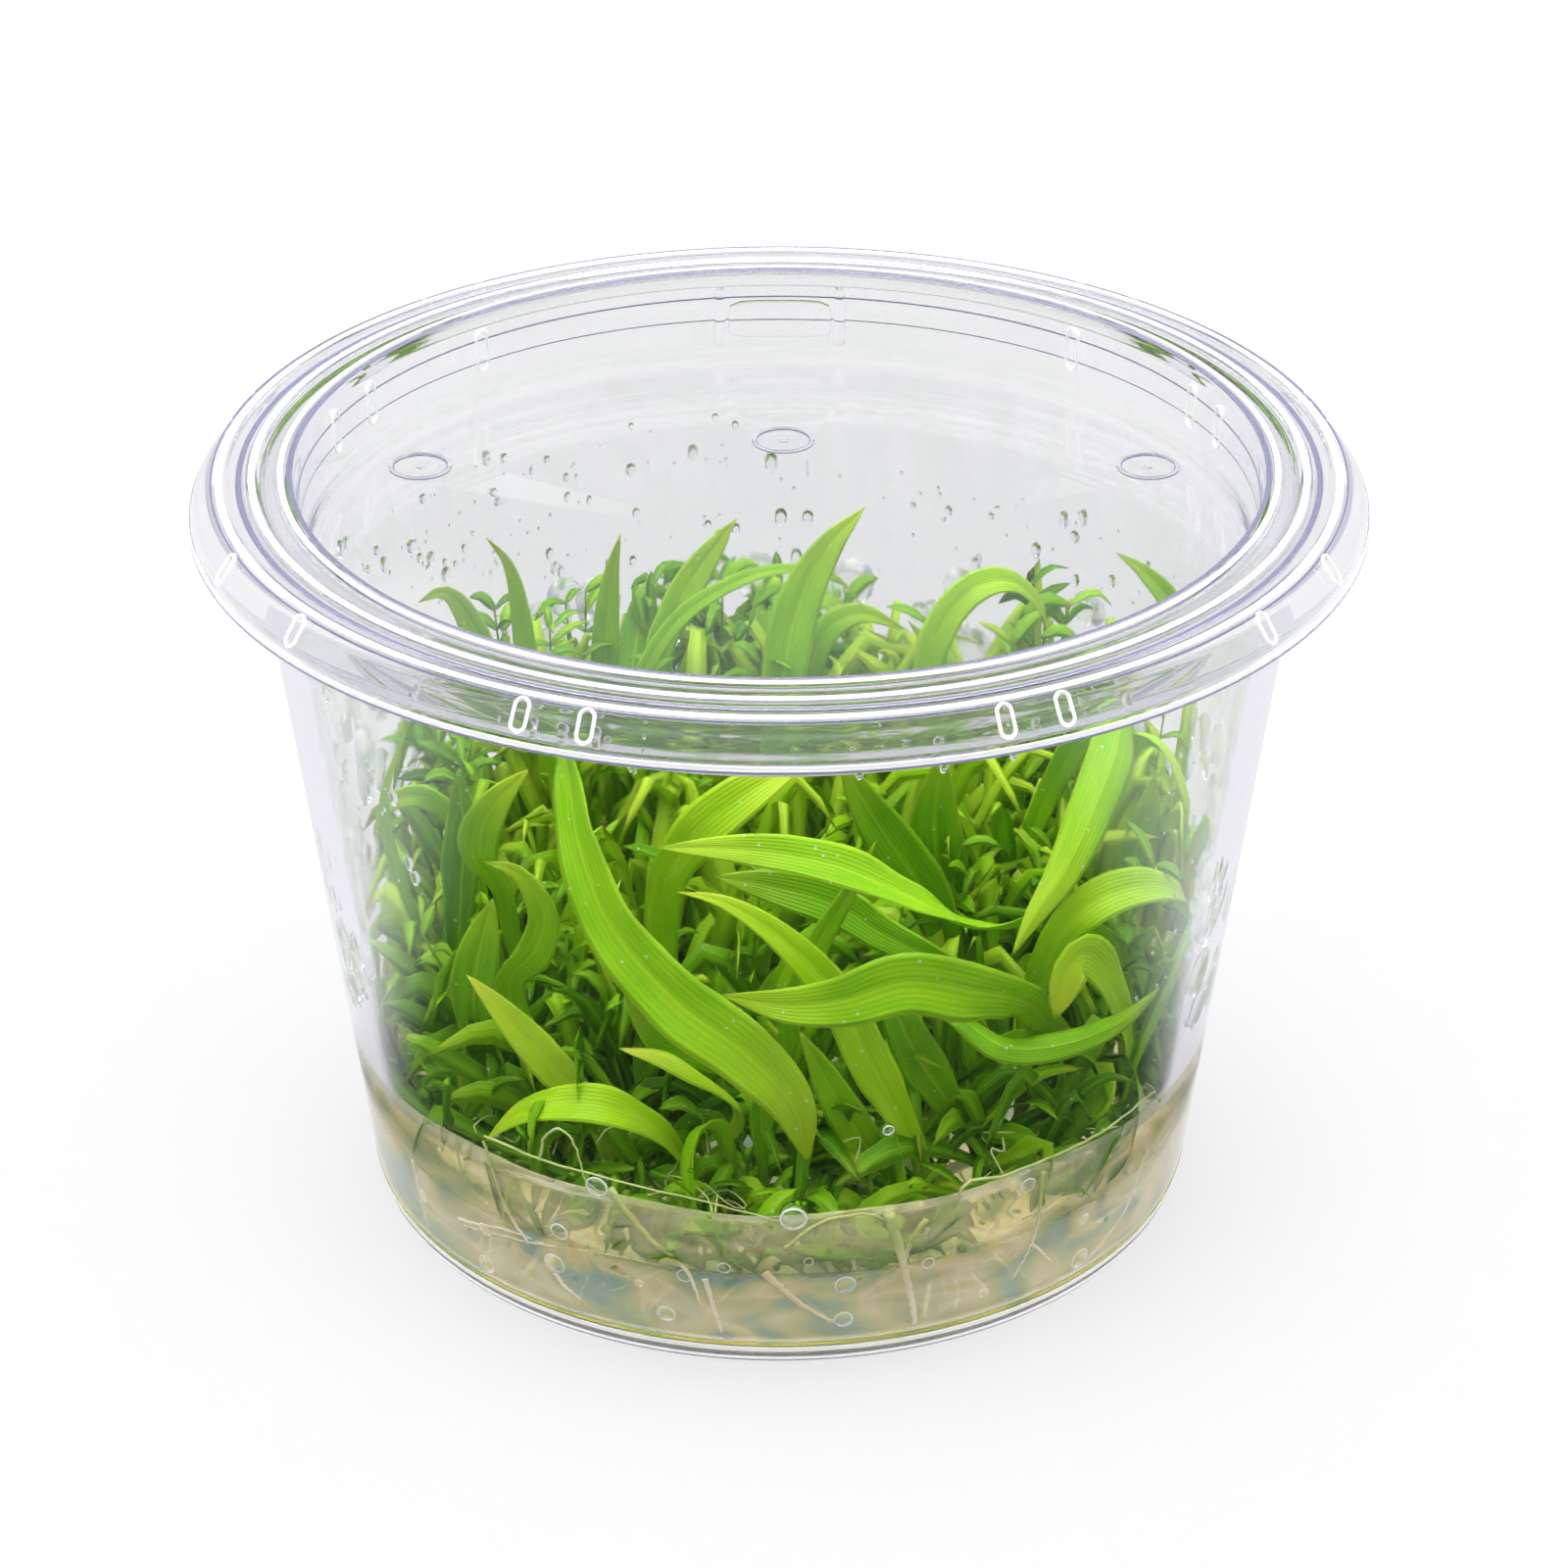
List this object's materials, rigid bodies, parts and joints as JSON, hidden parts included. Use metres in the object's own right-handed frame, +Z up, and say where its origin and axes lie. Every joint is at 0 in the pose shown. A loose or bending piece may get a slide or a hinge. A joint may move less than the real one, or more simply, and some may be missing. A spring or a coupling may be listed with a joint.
{
  "type": "tissue culture aquarium plant in a lidded clear tub",
  "caption": "Round clear tapered tub with a press-on sunk-panel lid, a thin layer of agar gel and a dense clump of young strap-leaved sword plants on runners.",
  "frame": {"origin": "centre of the tub's base, on the plane it stands on", "axes": "+Z up along the tub's axis, -Y the front that the picture looks at from above, +X to the viewer's right"},
  "size_m": [0.118, 0.118, 0.0799],
  "materials": {
    "clear_polypropylene": "clear, glossy, moulded",
    "agar_gel": "wet, translucent gel",
    "strap_leaf": "waxy, half-gloss leaf skin",
    "crown_and_root": "pale, fleshy, half-gloss",
    "plantlet_leaf": "waxy, half-gloss leaf skin"
  },
  "bodies": {
    "root": {"cup": "clear_polypropylene", "lid": "clear_polypropylene", "gel": "agar_gel", "runner_front": "crown_and_root", "runner_middle": "crown_and_root", "runner_back": "crown_and_root", "leaf_01": "strap_leaf", "leaf_02": "strap_leaf", "leaf_03": "strap_leaf", "leaf_04": "strap_leaf", "leaf_05": "strap_leaf", "leaf_06": "strap_leaf", "leaf_07": "strap_leaf", "leaf_08": "strap_leaf", "leaf_09": "strap_leaf", "leaf_10": "strap_leaf", "leaf_11": "strap_leaf", "leaf_12": "strap_leaf", "leaf_13": "strap_leaf", "leaf_14": "strap_leaf", "leaf_15": "strap_leaf", "leaf_16": "strap_leaf", "leaf_17": "strap_leaf", "leaf_18": "strap_leaf", "leaf_19": "strap_leaf", "leaf_20": "strap_leaf", "leaf_21": "strap_leaf", "leaf_22": "strap_leaf", "leaf_23": "strap_leaf", "leaf_24": "strap_leaf", "leaf_25": "strap_leaf", "leaf_26": "strap_leaf", "leaf_27": "strap_leaf", "leaf_28": "strap_leaf", "leaf_29": "strap_leaf", "leaf_30": "strap_leaf", "leaf_31": "strap_leaf", "leaf_32": "strap_leaf", "leaf_33": "strap_leaf", "leaf_34": "strap_leaf", "leaf_35": "strap_leaf", "leaf_36": "strap_leaf", "leaf_37": "strap_leaf", "leaf_38": "strap_leaf", "leaf_39": "strap_leaf", "leaf_40": "strap_leaf", "leaf_41": "strap_leaf", "leaf_42": "strap_leaf", "leaf_43": "strap_leaf", "leaf_44": "strap_leaf", "leaf_45": "strap_leaf", "leaf_46": "strap_leaf", "plantlet_1": "plantlet_leaf", "plantlet_2": "plantlet_leaf", "plantlet_3": "plantlet_leaf", "plantlet_4": "plantlet_leaf", "plantlet_5": "plantlet_leaf", "plantlet_6": "plantlet_leaf", "plantlet_7": "plantlet_leaf", "plantlet_8": "plantlet_leaf"}
  },
  "joints": []
}
